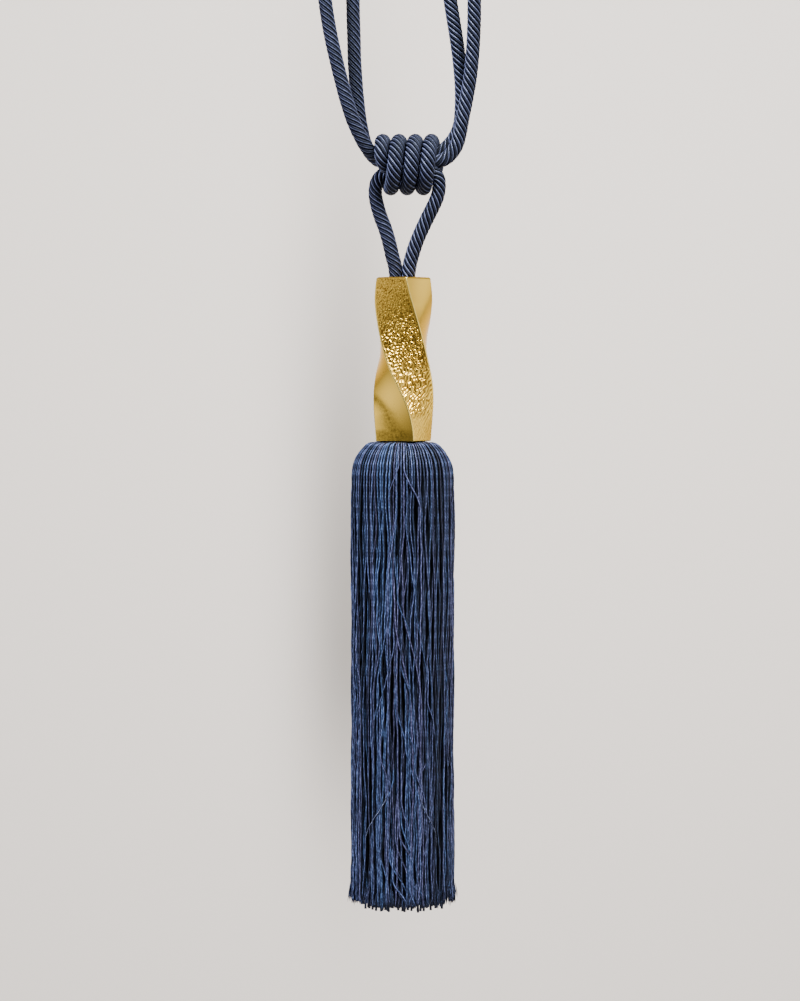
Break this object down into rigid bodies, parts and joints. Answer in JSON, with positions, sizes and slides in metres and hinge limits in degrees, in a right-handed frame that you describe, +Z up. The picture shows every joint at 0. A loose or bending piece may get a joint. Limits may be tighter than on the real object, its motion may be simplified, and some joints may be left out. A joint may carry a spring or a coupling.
{
  "type": "curtain tieback tassel",
  "caption": "Curtain tieback tassel: doubled twisted cord in a coiled knot, cord legs into a twisted square metal collar, and a long full yarn skirt.",
  "frame": {"origin": "the point that the doubled cord hangs from, in the middle of its two loops and level with their underside", "axes": "+Z up along the hanging tassel, +X to the right and +Y to the back, seen from the front"},
  "size_m": [0.078, 0.0507, 0.5062],
  "materials": {
    "navy_cord": "tightly twisted lustrous cord",
    "navy_yarn": "lustrous crimped yarn",
    "gilt_metal": "satin gold with hammered sides"
  },
  "bodies": {
    "root": {"loop_cord_front": "navy_cord", "loop_cord_back": "navy_cord", "tassel_cord": "navy_cord", "collar": "gilt_metal", "skirt": "navy_yarn"}
  },
  "joints": []
}
